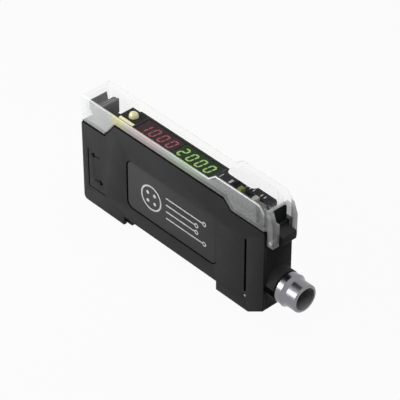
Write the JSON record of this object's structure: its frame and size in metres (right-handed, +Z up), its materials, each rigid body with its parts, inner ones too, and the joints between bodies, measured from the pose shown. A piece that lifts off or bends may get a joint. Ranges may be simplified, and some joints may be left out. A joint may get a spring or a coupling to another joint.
{
  "type": "fibre optic sensor amplifier",
  "caption": "Slim rail-mounted fibre optic sensor amplifier with a hinged clear dust cover, digit displays, keys, fibre clamp lever, sprung rail clip and a round threaded connector.",
  "frame": {"origin": "centre of the overall box, at the level of the feet", "axes": "+X from the fibre end to the connector end, -Y towards the side with the label panel, +Z up to the dust cover"},
  "size_m": [0.0808, 0.01, 0.0371],
  "materials": {
    "housing": "fine moulded texture",
    "label": "matte film",
    "clear": "clear moulded",
    "black": "fine moulded texture",
    "overlay": "printed film",
    "steel": "ground",
    "board": "solder resist",
    "red_face": "cast epoxy",
    "green_face": "cast epoxy",
    "red_light": "lit epoxy",
    "green_light": "lit epoxy",
    "amber_light": "lit lens",
    "pale_key": "fine moulded texture",
    "yellow_key": "fine moulded texture",
    "rubber": "matte",
    "nickel": "nickel plated",
    "gold": "gold plated",
    "diode": "cast epoxy"
  },
  "bodies": {
    "housing": {"main_case": "housing", "side_cover": "housing", "side_label": "label", "hinge_pin": "steel", "control_frame": "black", "panel_overlay": "overlay", "display_board": "board", "red_display": "red_face", "red_segments": "red_light", "green_display": "green_face", "green_segments": "green_light", "output_lamp": "amber_light", "light_bar": "amber_light", "rocker_pin": "steel", "rocker_contacts": "steel", "mode_switch": "black", "output_switch": "black", "lever_pin": "steel", "plate_pin": "steel", "fibre_block": "black", "port_seals": "rubber", "emitter_diode": "diode", "receiver_diode": "black", "main_board": "board", "controller_chip": "black", "board_header": "black", "clip_spring": "steel", "connector_shell": "nickel", "connector_insert": "black", "contact_pins": "gold", "connector_seal": "rubber", "connector_nut": "nickel"},
    "cover": {"dust_cover": "clear"},
    "lever": {"clamp_lever": "black"},
    "clamp": {"clamp_plate": "steel"},
    "rocker": {"rocker_key": "black"},
    "mode_slider": {"mode_knob": "yellow_key"},
    "output_slider": {"output_knob": "pale_key"},
    "clip": {"rail_clip": "black"}
  },
  "joints": [
    {"name": "cover_hinge", "type": "hinge", "parent": "housing", "child": "cover", "pos_m": [0.03145, 0, 0.0264], "axis": [0, 1, 0], "range_deg": [0, 110]},
    {"name": "lever_swing", "type": "hinge", "parent": "housing", "child": "lever", "pos_m": [-0.03575, 0, 0.0245], "axis": [0, 1, 0], "range_deg": [0, 26]},
    {"name": "clamp_tilt", "type": "hinge", "parent": "housing", "child": "clamp", "pos_m": [-0.03575, 0, 0.013], "axis": [0, -1, 0], "range_deg": [0, 4.1]},
    {"name": "rocker_tilt", "type": "hinge", "parent": "housing", "child": "rocker", "pos_m": [0.01125, 0, 0.0309], "axis": [0, 1, 0], "range_deg": [-4, 4], "stiffness_Nm_per_rad": 0.02},
    {"name": "mode_slide", "type": "slide", "parent": "housing", "child": "mode_slider", "axis": [1, 0, 0], "range_m": [0, 0.0024]},
    {"name": "output_slide", "type": "slide", "parent": "housing", "child": "output_slider", "axis": [1, 0, 0], "range_m": [0, 0.0012]},
    {"name": "clip_slide", "type": "slide", "parent": "housing", "child": "clip", "axis": [-1, 0, 0], "range_m": [0, 0.002], "stiffness_N_per_m": 400, "deforming": ["clip_spring"]}
  ],
  "couplings": [
    {"joint": "clamp_tilt", "follows": "lever_swing", "ratio": 0.1563}
  ]
}
